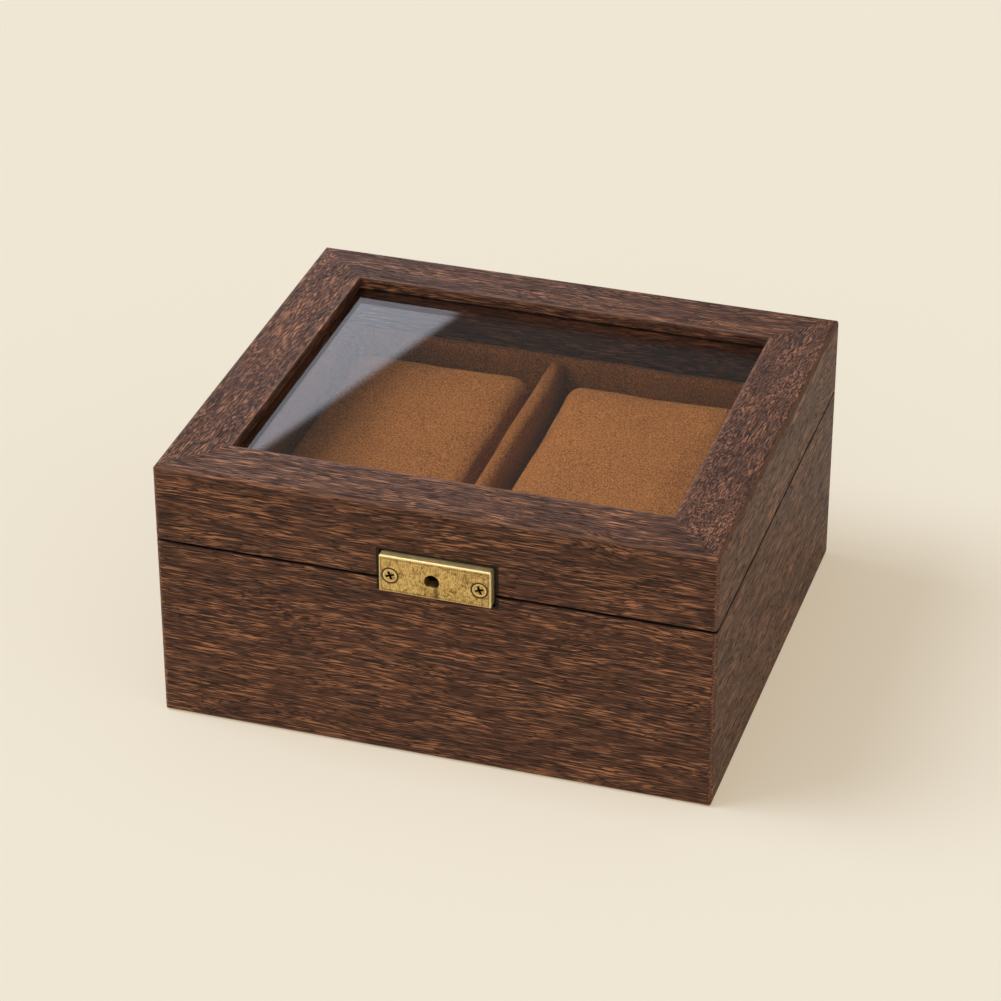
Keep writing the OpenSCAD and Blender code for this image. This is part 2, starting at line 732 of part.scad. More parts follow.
// The leaf on the rim, with the two outer knuckles and the apron that stops the lid.
module hinge_base_leaf() {
    half = hinge_len / 2;
    inner = knuckle_len / 2 + knuckle_gap;
    color(brass) difference() {
        union() {
            span(-half, half, case_d / 2 - leaf_w, case_d / 2, rim_z - leaf_t, rim_z);
            span(-half, half, case_d / 2, case_d / 2 + apron_t, seam_z - barrel_r - apron_h, seam_z - barrel_r);
            for (side = [-1, 1]) {
                x0 = side < 0 ? -half : inner;
                knuckle(x0, x0 + half - inner);
                span(x0, x0 + half - inner, case_d / 2 - leaf_w, axis_y, rim_z - leaf_t, rim_z);
                span(x0, x0 + half - inner, case_d / 2, case_d / 2 + apron_t, seam_z - barrel_r - 1, rim_z);
            }
        }
        pin_bore();
        for (end = [-1, 1])
            translate([end * screw_x, screw_y, rim_z]) screw_hole(small_head_r, small_screw_len);
    }
}

// The leaf in the lid, with the middle knuckle and the tab that meets the apron when the lid stands open.
module hinge_lid_leaf() {
    half = hinge_len / 2;
    color(brass) difference() {
        union() {
            span(-half, half, case_d / 2 - leaf_w, case_d / 2, lid_z, lid_z + leaf_t);
            knuckle(-knuckle_len / 2, knuckle_len / 2);
            span(-knuckle_len / 2, knuckle_len / 2, case_d / 2 - leaf_w, axis_y, lid_z, lid_z + leaf_t);
            span(-knuckle_len / 2, knuckle_len / 2, axis_y, axis_y + stop_len, seam_z + stop_z, seam_z + stop_z + stop_t);
        }
        pin_bore();
        for (end = [-1, 1])
            translate([end * screw_x, screw_y, lid_z]) rotate([180, 0, 0]) screw_hole(small_head_r, small_screw_len);
    }
}

module hinge_pin() {
    color(steel) translate([-hinge_len / 2, axis_y, seam_z]) rotate([0, 90, 0]) cylinder(h = hinge_len, r = pin_r);
}

module hinge_left_base_leaf() { translate([-hinge_x, 0, 0]) hinge_base_leaf(); }
module hinge_left_lid_leaf() { translate([-hinge_x, 0, 0]) hinge_lid_leaf(); }
module hinge_left_pin() { translate([-hinge_x, 0, 0]) hinge_pin(); }
module hinge_right_base_leaf() { translate([hinge_x, 0, 0]) hinge_base_leaf(); }
module hinge_right_lid_leaf() { translate([hinge_x, 0, 0]) hinge_lid_leaf(); }
module hinge_right_pin() { translate([hinge_x, 0, 0]) hinge_pin(); }

module hinge_screw_set(z, turn) {
    for (side = [-1, 1], end = [-1, 1])
        color(brass) translate([side * hinge_x + end * screw_x, screw_y, z]) rotate([turn, 0, 0])
            screw(small_head_r, small_screw_len);
}
module hinge_base_screws() { hinge_screw_set(rim_z, 0); }
module hinge_lid_screws() { hinge_screw_set(lid_z, 180); }

// ---------- nodes ----------

base_front_wall();
base_back_wall();
base_left_wall();
base_right_wall();
base_floor_panel();
base_felt();
rim_bumpers();
liner_front();
liner_back();
liner_left();
liner_right();
floor_pad_left();
floor_pad_right();
divider();
strike_plate();
strike_screws();
lid_front_rail();
lid_back_rail();
lid_left_rail();
lid_right_rail();
glass_pane();
glass_bead_front();
glass_bead_back();
glass_bead_left();
glass_bead_right();
lock_plate();
lock_plate_screws();
lock_case();
lock_rotor();
lock_bolt();
lock_spring();
hinge_left_base_leaf();
hinge_left_lid_leaf();
hinge_left_pin();
hinge_right_base_leaf();
hinge_right_lid_leaf();
hinge_right_pin();
hinge_base_screws();
hinge_lid_screws();
pillow_left_cover();
pillow_left_core();
pillow_left_board();
pillow_right_cover();
pillow_right_core();
pillow_right_board();
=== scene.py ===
import math
from typing import NamedTuple

import bmesh
import bpy
from mathutils import Matrix, Vector, noise


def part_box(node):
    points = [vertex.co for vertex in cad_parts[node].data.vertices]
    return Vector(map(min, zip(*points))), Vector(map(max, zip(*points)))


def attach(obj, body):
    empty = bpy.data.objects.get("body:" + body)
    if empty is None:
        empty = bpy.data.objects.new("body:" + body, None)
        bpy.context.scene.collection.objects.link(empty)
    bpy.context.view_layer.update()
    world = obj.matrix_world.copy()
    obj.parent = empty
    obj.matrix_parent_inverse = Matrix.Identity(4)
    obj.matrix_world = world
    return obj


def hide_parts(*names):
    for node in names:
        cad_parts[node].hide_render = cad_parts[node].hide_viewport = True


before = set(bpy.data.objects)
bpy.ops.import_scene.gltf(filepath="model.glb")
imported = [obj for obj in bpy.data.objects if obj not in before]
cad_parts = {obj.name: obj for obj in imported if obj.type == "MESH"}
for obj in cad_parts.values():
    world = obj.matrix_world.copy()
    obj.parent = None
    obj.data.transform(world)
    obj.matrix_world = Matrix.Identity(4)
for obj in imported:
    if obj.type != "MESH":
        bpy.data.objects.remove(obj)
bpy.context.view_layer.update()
MM = 0.001

# ---------- sizes read from the frame, in millimetres ----------


def corners(node):
    """A CAD node's lowest and highest corners in millimetres."""
    low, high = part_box(node)
    return low / MM, high / MM


WALL_LOW, WALL_HIGH = corners("base_left_wall")
RAIL_LOW, RAIL_HIGH = corners("lid_left_rail")
CASE_X, CASE_Y, CASE_Z = -WALL_LOW.x, -corners("base_front_wall")[0].y, RAIL_HIGH.z
SEAM_Z = (WALL_HIGH.z + RAIL_LOW.z) / 2
# Half the width and half the depth of the opening that the rails leave for the glass.
LIGHT_X, LIGHT_Y = -RAIL_HIGH.x, -corners("lid_front_rail")[1].y
PLATE_LOW, PLATE_HIGH = corners("lock_plate")
PLATE_HALF, PLATE_MIDDLE = (PLATE_HIGH - PLATE_LOW) / 2, (PLATE_HIGH + PLATE_LOW) / 2
SCREW_LOW, SCREW_HIGH = corners("lock_plate_screws")
SCREW_MIDDLE = (SCREW_LOW + SCREW_HIGH) / 2
SCREW_R = (SCREW_HIGH.z - SCREW_LOW.z) / 2
SCREW_HALF_PITCH = (SCREW_HIGH.x - SCREW_LOW.x) / 2 - SCREW_R
ROTOR_LOW, ROTOR_HIGH = corners("lock_rotor")
KEYHOLE_X = (ROTOR_LOW.x + ROTOR_HIGH.x) / 2

# ---------- camera ----------

CAMERA_AT = Vector((267.9, -856.5, 577.7)) * MM
CAMERA_AIM = Vector((-24.0, 69.3, 0.0)) * MM
LENS, SENSOR = 130.4, 36.0


def make_camera():
    data = bpy.data.cameras.new("camera")
    data.lens = LENS
    data.sensor_width = SENSOR
    camera = bpy.data.objects.new("camera", data)
    camera.location = CAMERA_AT
    camera.rotation_euler = (CAMERA_AIM - CAMERA_AT).to_track_quat("-Z", "Y").to_euler()
    bpy.context.scene.collection.objects.link(camera)
    bpy.context.scene.camera = camera


# ---------- node helpers ----------


def linear(red, green, blue):
    """A colour written as 0 to 255 on the screen, in the renderer's own scale, with alpha."""
    def channel(value):
        share = value / 255
        return share / 12.92 if share <= 0.04045 else ((share + 0.055) / 1.055) ** 2.4
    return (channel(red), channel(green), channel(blue), 1.0)


class Figure(NamedTuple):
    """A noise: its spots per millimetre along the three axes, its detail, roughness and distortion, how far
    it is moved so that no two lie alike, and the levels between which what it shows fades in."""
    per_mm: tuple
    detail: float = 2.0
    roughness: float = 0.5
    distortion: float = 0.0
    shift: float = 0.0
    low: float = 0.0
    high: float = 1.0


class Tree:
    """A node tree, with a short method for each kind of node that the finishes use."""

    def __init__(self, tree):
        self.tree = tree

    def add(self, kind, **settings):
        made = self.tree.nodes.new(kind)
        for name, value in settings.items():
            setattr(made, name, value)
        return made

    def put(self, value, socket):
        if isinstance(value, bpy.types.NodeSocket):
            self.tree.links.new(value, socket)
        else:
            socket.default_value = value

    def math(self, operation, first, second=0.0, clamp=False):
        made = self.add("ShaderNodeMath", operation=operation, use_clamp=clamp)
        self.put(first, made.inputs[0])
        self.put(second, made.inputs[1])
        return made.outputs[0]

    def plus(self, first, second):
        return self.math("ADD", first, second)

    def minus(self, first, second):
        return self.math("SUBTRACT", first, second)

    def times(self, first, second):
        return self.math("MULTIPLY", first, second)

    def lesser(self, first, second):
        return self.math("MINIMUM", first, second)

    def greater(self, first, second):
        return self.math("MAXIMUM", first, second)

    def away(self, value, middle=0.0):
        """How far a value is from the middle, on either side of it."""
        return self.math("ABSOLUTE", self.minus(value, middle))

    def vector(self, operation, first, second):
        made = self.add("ShaderNodeVectorMath", operation=operation)
        self.put(first, made.inputs[0])
        self.put(second, made.inputs[1])
        return made.outputs[0]

    def axes(self, vector):
        made = self.add("ShaderNodeSeparateXYZ")
        self.put(vector, made.inputs[0])
        return made.outputs

    def noise(self, place, figure):
        if figure.shift:
            place = self.vector("ADD", place, (figure.shift, figure.shift, figure.shift))
        made = self.add("ShaderNodeTexNoise")
        self.put(self.vector("MULTIPLY", place, figure.per_mm), made.inputs["Vector"])
        made.inputs["Scale"].default_value = 1.0
        made.inputs["Detail"].default_value = figure.detail
        made.inputs["Roughness"].default_value = figure.roughness
        made.inputs["Distortion"].default_value = figure.distortion
        return made.outputs[0]

    def shown(self, place, figure):
        """A noise as a mask between its two levels."""
        return self.step(self.noise(place, figure), figure.low, figure.high)

    def step(self, value, low, high):
        """0 below low, 1 above high, and smooth between them."""
        made = self.add("ShaderNodeMapRange", interpolation_type="SMOOTHSTEP")
        self.put(value, made.inputs["Value"])
        self.put(low, made.inputs["From Min"])
        self.put(high, made.inputs["From Max"])
        return made.outputs[0]

    def within(self, value, near, far):
        """1 below near, 0 above far, and smooth between them."""
        return self.minus(1.0, self.step(value, near, far))

    def spread(self, value, low, high):
        """Takes 0 to 1 to low to high."""
        made = self.add("ShaderNodeMapRange")
        self.put(value, made.inputs["Value"])
        self.put(low, made.inputs["To Min"])
        self.put(high, made.inputs["To Max"])
        return made.outputs[0]

    def blend(self, share, first, second):
        made = self.add("ShaderNodeMix", data_type="RGBA")
        self.put(share, made.inputs[0])
        self.put(first, made.inputs[6])
        self.put(second, made.inputs[7])
        return made.outputs[2]

    def mixed_shaders(self, share, first, second):
        made = self.add("ShaderNodeMixShader")
        self.put(share, made.inputs[0])
        self.put(first, made.inputs[1])
        self.put(second, made.inputs[2])
        return made.outputs[0]

    def bump(self, height, strength, distance):
        made = self.add("ShaderNodeBump")
        self.put(height, made.inputs["Height"])
        made.inputs["Strength"].default_value = strength
        made.inputs["Distance"].default_value = distance
        return made.outputs[0]


def group(name, inputs, outputs):
    """An empty node group with named sockets, and its input and output nodes."""
    made = bpy.data.node_groups.new(name, "ShaderNodeTree")
    for title, kind in inputs:
        made.interface.new_socket(title, in_out="INPUT", socket_type="NodeSocket" + kind)
    for title, kind in outputs:
        made.interface.new_socket(title, in_out="OUTPUT", socket_type="NodeSocket" + kind)
    tree = Tree(made)
    return tree, tree.add("NodeGroupInput").outputs, tree.add("NodeGroupOutput").inputs


def use(tree, made, **values):
    """Places a node group, with underscores in its sockets' names for spaces."""
    placed = tree.add("ShaderNodeGroup", node_tree=made.tree)
    for title, value in values.items():
        tree.put(value, placed.inputs[title.replace("_", " ")])
    return placed.outputs


def material(name, **settings):
    """A material with one Principled shader, its plain values set on the shader's own sockets."""
    made = bpy.data.materials.new(name)
    made.use_nodes = True
    tree = Tree(made.node_tree)
    shader = made.node_tree.nodes["Principled BSDF"]
    for title, value in settings.items():
        shader.inputs[title.replace("_", " ")].default_value = value
    return made, tree, shader.inputs


def place_mm(tree):
    """The point on the piece, in millimetres of the row frame at rest."""
    made = tree.add("ShaderNodeVectorMath", operation="SCALE")
    tree.put(tree.add("ShaderNodeTexCoord").outputs["Object"], made.inputs[0])
    made.inputs["Scale"].default_value = 1 / MM
    return made.outputs[0]


# ---------- shared effects ----------

# -- wood --

WOOD_DARK, WOOD_MID, WOOD_WARM = linear(54, 31, 22), linear(88, 55, 39), linear(104, 64, 42)
WOOD_COPPER, WOOD_PORE, WOOD_WORN = linear(184, 123, 84), linear(22, 12, 8), linear(168, 126, 104)
# Greyer wood for the upright faces of the side boards: a painted sheen.
GREY_DARK, GREY_PALE = linear(54, 31, 17), linear(127, 80, 46)


def in_fibres(along, across):
    """The spots per millimetre of a figure that is so long and so wide, in millimetres."""
    return (1 / along, 1 / across, 1 / across)


SWAY = Figure(in_fibres(45, 14), detail=1.0)
CURL = Figure(in_fibres(7, 5), detail=1.0)
SWAY_REACH, CURL_REACH = 4.0, 5.0              # how far they push the fibres sideways, in millimetres
FIBRES = Figure(in_fibres(22, 0.45), roughness=0.6, low=0.34, high=0.66)
BANDS = Figure(in_fibres(70, 5), roughness=0.6, shift=5.0, low=0.38, high=0.64)
FLAMES = Figure(in_fibres(22, 4), detail=3.0, roughness=0.65, shift=29.0, low=0.36, high=0.66)
STROKES = Figure(in_fibres(7.5, 0.31), detail=1.0, shift=17.0, low=0.53, high=0.66)
PORES = Figure(in_fibres(12, 0.56), detail=1.0, shift=41.0, low=0.008, high=0.055)
NOISE_MIDDLE = 0.5
GREY_LEVEL = 0.68                              # where the fibres' pale end is reached in the painted sheen
FLAME_LIFT = 0.05                              # how much more of the strokes show in a flame
STROKES_BETWEEN, STROKES_IN_FLAMES = 0.45, 1.2
BAND_SHARE, PORE_SHARE = 0.5, 0.8
WOOD_SMOOTH, WOOD_IN_PORES, STROKE_POLISH = 0.52, 0.75, 0.08
FIBRE_HEIGHT, STROKE_HEIGHT, PORE_DEPTH = 0.6, 0.5, 0.8


def make_grain():
    """Open-pored dark hardwood. The fibres run along the first axis of Place, off it by Slope."""
    tree, given, out = group(
        "Wood grain",
        [("Place", "Vector"), ("Copper", "Float"), ("Fuzz", "Float"), ("Slope", "Float"), ("Grey", "Float")],
        [("Color", "Color"), ("Roughness", "Float"), ("Height", "Float")],
    )
    place, copper = given["Place"], given["Copper"]

    # The fibres wander sideways as they run, most where the wood is fuzzy.
    sway = tree.times(tree.minus(tree.noise(place, SWAY), NOISE_MIDDLE), SWAY_REACH)
    curl_reach = tree.times(given["Fuzz"], CURL_REACH)
    curl = tree.times(tree.minus(tree.noise(place, CURL), NOISE_MIDDLE), curl_reach)
    slope = tree.times(tree.axes(place)[0], given["Slope"])
    aside = tree.plus(tree.plus(sway, curl), slope)
    shove = tree.add("ShaderNodeCombineXYZ")
    tree.put(aside, shove.inputs[1])
    tree.put(aside, shove.inputs[2])
    swayed = tree.vector("ADD", place, shove.outputs[0])

    fibres = tree.noise(swayed, FIBRES)
    bands = tree.shown(swayed, BANDS)
    flames = tree.shown(swayed, FLAMES)
    lifted = tree.plus(tree.noise(swayed, STROKES), tree.times(flames, FLAME_LIFT))
    strength = tree.times(copper, tree.spread(flames, STROKES_BETWEEN, STROKES_IN_FLAMES))
    strokes = tree.times(tree.step(lifted, STROKES.low, STROKES.high), strength)
    # A pore is cut open along the line where its noise crosses the middle, which makes it long and thin.
    pores = tree.within(tree.away(tree.noise(swayed, PORES), NOISE_MIDDLE), PORES.low, PORES.high)

    ground = tree.blend(tree.step(fibres, FIBRES.low, FIBRES.high), WOOD_DARK, WOOD_MID)
    ground = tree.blend(tree.times(bands, tree.times(copper, BAND_SHARE)), ground, WOOD_WARM)
    # The upright faces turn greyer by this share: a painted sheen.
    sheen_greyed = tree.blend(tree.step(fibres, FIBRES.low, GREY_LEVEL), GREY_DARK, GREY_PALE)
    lit = tree.blend(strokes, tree.blend(given["Grey"], ground, sheen_greyed), WOOD_COPPER)
    tree.put(tree.blend(tree.times(pores, PORE_SHARE), lit, WOOD_PORE), out["Color"])
    dull = tree.spread(pores, WOOD_SMOOTH, WOOD_IN_PORES)
    tree.put(tree.minus(dull, tree.times(strokes, STROKE_POLISH)), out["Roughness"])
    raised = tree.plus(tree.times(fibres, FIBRE_HEIGHT), tree.times(strokes, STROKE_HEIGHT))
    tree.put(tree.minus(raised, tree.times(pores, PORE_DEPTH)), out["Height"])
    return tree


WEAR_BREAKS = Figure((0.22, 0.22, 0.22), detail=3.0, roughness=0.7)
WEAR_NARROW, WEAR_WIDE = 0.2, 1.8              # the shares of the given width between which the wear varies


def make_edge_wear():
    """1 along the case's worn edges: its outer edges and the edge round the glass."""
    tree, given, out = group(
        "Edge wear", [("Place", "Vector"), ("Width", "Float")], [("Mask", "Float")])
    x, y, z = tree.axes(given["Place"])
    from_side = tree.minus(CASE_X, tree.away(x))
    from_front = tree.minus(CASE_Y, tree.away(y))
    from_top = tree.minus(CASE_Z, z)
    from_flat = tree.lesser(from_top, z)
    # The middle one of the three distances is small only where two faces meet.
    nearer = tree.lesser(from_side, from_front)
    farther = tree.greater(from_side, from_front)
    outer = tree.greater(nearer, tree.lesser(farther, from_flat))
    from_light = tree.greater(tree.minus(tree.away(x), LIGHT_X), tree.minus(tree.away(y), LIGHT_Y))
    edge = tree.lesser(outer, tree.greater(from_light, from_top))
    broken = tree.spread(tree.noise(given["Place"], WEAR_BREAKS), WEAR_NARROW, WEAR_WIDE)
    tree.put(tree.within(edge, 0.0, tree.times(given["Width"], broken)), out["Mask"])
    return tree


# Where the seam's grime and painted shade, and the painted shadow round the face plate, are thick and where
# they
# end, in millimetres: from the seam, from the boards' faces into the seam, from the face plate's outline, and
# behind the face plate.
DIRT_AND_SHADE_FROM_SEAM, DIRT_AND_SHADE_INTO_SEAM = (0.25, 0.75), (0.6, 1.6)
SHADOW_FROM_PLATE, SHADOW_BEHIND_PLATE = (0.7, 1.1), (1.0, 2.0)
PLATE_HIDES = 0.5                              # how much of it the plate's thickness hides beside the plate


def make_dirt_and_shade():
    """1 in the mouth of the seam, for grime and painted shade, and in the wood close round the face plate,
    for painted shadow.
    """
    tree, given, out = group("Grime and painted shade", [("Place", "Vector")], [("Mask", "Float")])
    x, y, z = tree.axes(given["Place"])
    from_face = tree.lesser(tree.minus(CASE_Y, tree.away(y)), tree.minus(CASE_X, tree.away(x)))
    # Grime and painted shade in the mouth of the seam, near the outer faces.
    in_seam = tree.times(tree.within(tree.away(z, SEAM_Z), *DIRT_AND_SHADE_FROM_SEAM),
                         tree.within(from_face, *DIRT_AND_SHADE_INTO_SEAM))
    # Painted shadow round the face plate, standing in for the dark gap round it.
    beside = tree.minus(tree.away(x, PLATE_MIDDLE.x), PLATE_HALF.x)
    above = tree.minus(tree.away(z, PLATE_MIDDLE.z), PLATE_HALF.z)
    outside = tree.greater(tree.minus(beside, PLATE_HIDES), above)
    behind = tree.minus(y, PLATE_HIGH.y)
    shadow_by_plate = tree.times(tree.within(outside, *SHADOW_FROM_PLATE), tree.within(behind, *SHADOW_BEHIND_PLATE))
    tree.put(tree.greater(in_seam, shadow_by_plate), out["Mask"])
    return tree


# -- suede --

SPECKLE = Figure((2.2, 1.8, 2.2), detail=1.0, distortion=0.6)
TUFTS = Figure((0.42, 0.36, 0.42), roughness=0.6, distortion=0.4)
BRUSHED = Figure((0.07, 0.05, 0.07))
SPECKLE_SHARE, TUFT_SHARE, BRUSHED_SHARE = 0.84, 0.06, 0.10
NAP_DARK_LEVEL, NAP_LIGHT_LEVEL = 0.33, 0.69
TUFT_HEIGHT = 0.4


def make_nap():
    """Suede: a short speckled nap, brushed lighter and darker in broad patches."""
    tree, given, out = group(
        "Suede nap",
        [("Place", "Vector"), ("Dark", "Color"), ("Light", "Color")],
        [("Color", "Color"), ("Height", "Float")],
    )
    speckle, tufts, brushed = [tree.noise(given["Place"], figure) for figure in (SPECKLE, TUFTS, BRUSHED)]
    fine = tree.plus(tree.times(speckle, SPECKLE_SHARE), tree.times(tufts, TUFT_SHARE))
    light = tree.step(tree.plus(fine, tree.times(brushed, BRUSHED_SHARE)), NAP_DARK_LEVEL, NAP_LIGHT_LEVEL)
    tree.put(tree.blend(light, given["Dark"], given["Light"]), out["Color"])
    tree.put(tree.plus(speckle, tree.times(tufts, TUFT_HEIGHT)), out["Height"])
    return tree


# -- metal --

MOTTLE = Figure((0.42, 0.42, 0.5), detail=4.0, roughness=0.7, distortion=0.6, low=0.44, high=0.64)
BRUSH_MARKS = Figure((2.8, 2.8, 1.3), roughness=0.7, low=0.38, high=0.64)
PITS = Figure((1.6, 1.6, 1.2), roughness=0.6, low=0.60, high=0.68)
MARK_SHARE = 0.6
METAL_BRIGHT, METAL_DULL = 0.28, 0.55          # roughness where it is bright and where it is tarnished
MARK_HEIGHT, PIT_DEPTH = 0.4, 0.6
METAL_BUMP = 0.25, 0.0001                      # strength, and distance in metres


def make_patina():
    """Aged metal: brushed marks that run upright, mottled tarnish and small dark pits."""
    tree, given, out = group(
        "Metal patina",
        [("Place", "Vector"), ("Bright", "Color"), ("Tarnish", "Color"), ("Age", "Float")],
        [("Color", "Color"), ("Roughness", "Float"), ("Height", "Float")],
    )
    place, age = given["Place"], given["Age"]
    brushed = tree.noise(place, BRUSH_MARKS)
    pits = tree.shown(place, PITS)
    mottled = tree.times(tree.shown(place, MOTTLE), age)
    marks = tree.times(tree.step(brushed, BRUSH_MARKS.low, BRUSH_MARKS.high), MARK_SHARE)
    worn = tree.greater(tree.math("ADD", mottled, marks, clamp=True), tree.times(pits, age))
    tree.put(tree.blend(worn, given["Bright"], given["Tarnish"]), out["Color"])
    tree.put(tree.spread(worn, METAL_BRIGHT, METAL_DULL), out["Roughness"])
    tree.put(tree.minus(tree.times(brushed, MARK_HEIGHT), tree.times(pits, PIT_DEPTH)), out["Height"])
    return tree


def make_screw_distance():
    """Distance in millimetres from the middle of the nearer of the face plate's two screws."""
    tree, given, out = group("Screw distance", [("Place", "Vector")], [("Distance", "Float")])
    x, _, z = tree.axes(given["Place"])
    along = tree.minus(tree.away(x, SCREW_MIDDLE.x), SCREW_HALF_PITCH)
    up = tree.minus(z, SCREW_MIDDLE.z)
    squared = tree.plus(tree.times(along, along), tree.times(up, up))
    tree.put(tree.math("SQRT", squared), out["Distance"])
    return tree


GRAIN, EDGE_WEAR, DIRT_AND_SHADE = make_grain(), make_edge_wear(), make_dirt_and_shade()
NAP, PATINA, SCREW_DISTANCE = make_nap(), make_patina(), make_screw_distance()

# ---------- finishes ----------


class Board(NamedTuple):
    """A board's looks: whether its fibres run along Y and not X, the copper and the fuzz on faces that look
    up (top) and on all others (side), how far the fibres run off the board on its top (slope), and how far
    its upright faces are painted greyer, a painted sheen (grey)."""
    turned: bool
    top: tuple
    side: tuple
    slope: float = 0.0
    sheen_grey: float = 0.0


SIDE_LEVEL, TOP_LEVEL = 0.4, 0.9               # how far a face's normal points up on a side and on a top
WEAR_WIDTH, WEAR_SHARE, DIRT_AND_SHADE_SHARE = 1.3, 0.3, 0.9
WOOD_BUMP = 0.7, 0.00025                       # strength, and distance in metres
# The colour of the seam's grime and painted shade, and of the painted shadow round the face plate.
DIRT_AND_SHADE_COLOUR = linear(16, 9, 6)


def wood(name, board, shift):
    """One board's wood. Shift moves it in the figure, so that no two boards are cut from the same place."""
    made, tree, shader = material(name, Specular_IOR_Level=0.2)
    place = place_mm(tree)
    laid = tree.add("ShaderNodeMapping")
    tree.put(place, laid.inputs["Vector"])
    laid.inputs["Rotation"].default_value = (0, 0, math.radians(90) if board.turned else 0)
    laid.inputs["Location"].default_value = shift
    normal = tree.add("ShaderNodeTexCoord").outputs["Normal"]
    looks_up = tree.step(tree.axes(normal)[2], SIDE_LEVEL, TOP_LEVEL)
    grain = use(
        tree, GRAIN, Place=laid.outputs[0],
        Copper=tree.spread(looks_up, board.side[0], board.top[0]),
        Fuzz=tree.spread(looks_up, board.side[1], board.top[1]),
        Slope=tree.spread(looks_up, 0.0, board.slope),
        Grey=tree.spread(looks_up, board.sheen_grey, 0.0))
    wear = use(tree, EDGE_WEAR, Place=place, Width=WEAR_WIDTH)["Mask"]
    worn = tree.blend(tree.times(wear, WEAR_SHARE), grain["Color"], WOOD_WORN)
    # Grime and painted shade at the seam, and painted shadow round the face plate.
    dirt_and_shade = use(tree, DIRT_AND_SHADE, Place=place)["Mask"]
    tree.put(tree.blend(tree.times(dirt_and_shade, DIRT_AND_SHADE_SHARE), worn, DIRT_AND_SHADE_COLOUR), shader["Base Color"])
    tree.put(grain["Roughness"], shader["Roughness"])
    tree.put(tree.bump(grain["Height"], *WOOD_BUMP), shader["Normal"])
    return made


def suede(name, dark, light, shift=(0, 0, 0)):
    made, tree, shader = material(
        name, Roughness=0.92, Specular_IOR_Level=0.15, Sheen_Weight=0.2, Sheen_Roughness=0.5,
        Sheen_Tint=linear(226, 160, 100))
    place = tree.vector("ADD", place_mm(tree), shift)
    nap = use(tree, NAP, Place=place, Dark=dark, Light=light)
    tree.put(nap["Color"], shader["Base Color"])
    tree.put(tree.bump(nap["Height"], strength=0.9, distance=0.0006), shader["Normal"])
    return made


def aged_metal(name, bright, tarnish, age):
    made, tree, shader = material(name, Metallic=1.0)
    patina = use(tree, PATINA, Place=place_mm(tree), Bright=bright, Tarnish=tarnish, Age=age)
    tree.put(patina["Color"], shader["Base Color"])
    tree.put(patina["Roughness"], shader["Roughness"])
    tree.put(tree.bump(patina["Height"], *METAL_BUMP), shader["Normal"])
    return made


PLATE_BRIGHT, PLATE_TARNISH, PLATE_DARK = linear(228, 193, 121), linear(132, 99, 46), linear(56, 38, 16)
# A painted shade line and a painted highlight along the plate's rim stand in for a lit bevel.
PLATE_BEVEL_SHADE, PLATE_BEVEL_HIGHLIGHT = linear(112, 84, 38), linear(248, 224, 164)
PLATE_AGE = 0.5
RING_DARK, RING_END = SCREW_R + 0.2, SCREW_R + 0.6      # the dark ring round a screw, a painted shade of the gap round its head, from its middle
SMUDGE_X = KEYHOLE_X + 1.2
SMUDGE_WIDTH = 0.2, 1.3                        # from its middle: where it is dark and where it ends
SMUDGE_Z = SCREW_MIDDLE.z - 2.5, SCREW_MIDDLE.z + 0.5   # the same, from below upwards
BEVEL_SHADE_IN, BEVEL_SHADE_WIDTH = 0.8, (0.1, 0.35)     # the painted shade of a bevel just inside the rim: how far in, and its half width
BEVEL_HIGHLIGHT_WIDTH = 0.3, 0.6
DARK_SHARE, SMUDGE_SHARE, BEVEL_SHADE_SHARE, BEVEL_HIGHLIGHT_SHARE = 0.9, 0.8, 0.5, 0.85


def plate_brass():
    """The face plate's brass: painted shade round the screws, dark below the keyhole, and a painted bevel at
    its rim: a painted highlight with painted shade just inside it.
    """
    made, tree, shader = material("plate_brass", Metallic=0.8)
    place = place_mm(tree)
    patina = use(tree, PATINA, Place=place, Bright=PLATE_BRIGHT, Tarnish=PLATE_TARNISH, Age=PLATE_AGE)
    x, _, z = tree.axes(place)
    # Painted shade in the gap round each screw.
    ring = tree.within(use(tree, SCREW_DISTANCE, Place=place)["Distance"], RING_DARK, RING_END)
    smudge = tree.times(tree.within(tree.away(x, SMUDGE_X), *SMUDGE_WIDTH), tree.within(z, *SMUDGE_Z))
    dark = tree.greater(ring, tree.times(smudge, SMUDGE_SHARE))
    smudged_and_shaded = tree.blend(tree.times(dark, DARK_SHARE), patina["Color"], PLATE_DARK)
    from_end = tree.lesser(tree.minus(x, PLATE_LOW.x), tree.minus(PLATE_HIGH.x, x))
    from_edge = tree.lesser(tree.minus(z, PLATE_LOW.z), tree.minus(PLATE_HIGH.z, z))
    from_rim = tree.lesser(from_end, from_edge)
    # Painted bevel: a shade line just inside the rim, and a highlight on the rim itself.
    bevel_shade = tree.within(tree.away(from_rim, BEVEL_SHADE_IN), *BEVEL_SHADE_WIDTH)
    bevel_shaded = tree.blend(tree.times(bevel_shade, BEVEL_SHADE_SHARE), smudged_and_shaded, PLATE_BEVEL_SHADE)
    bevel_highlight = tree.within(from_rim, *BEVEL_HIGHLIGHT_WIDTH)
    tree.put(tree.blend(tree.times(bevel_highlight, BEVEL_HIGHLIGHT_SHARE), bevel_shaded, PLATE_BEVEL_HIGHLIGHT), shader["Base Color"])
    tree.put(patina["Roughness"], shader["Roughness"])
    tree.put(tree.bump(patina["Height"], *METAL_BUMP), shader["Normal"])
    return made


# Each screw head has a painted highlight on its rim, and painted shade at its edge and in its cross.
SCREW_BRIGHT, SCREW_TARNISH, SCREW_RIM = linear(222, 188, 116), linear(120, 90, 42), linear(240, 212, 148)
CROSS_SHADE = linear(24, 16, 8)
CROSS_DEPTH = 0.08, 0.3                        # below the screws' faces: where the painted shade in the crosses starts and is full
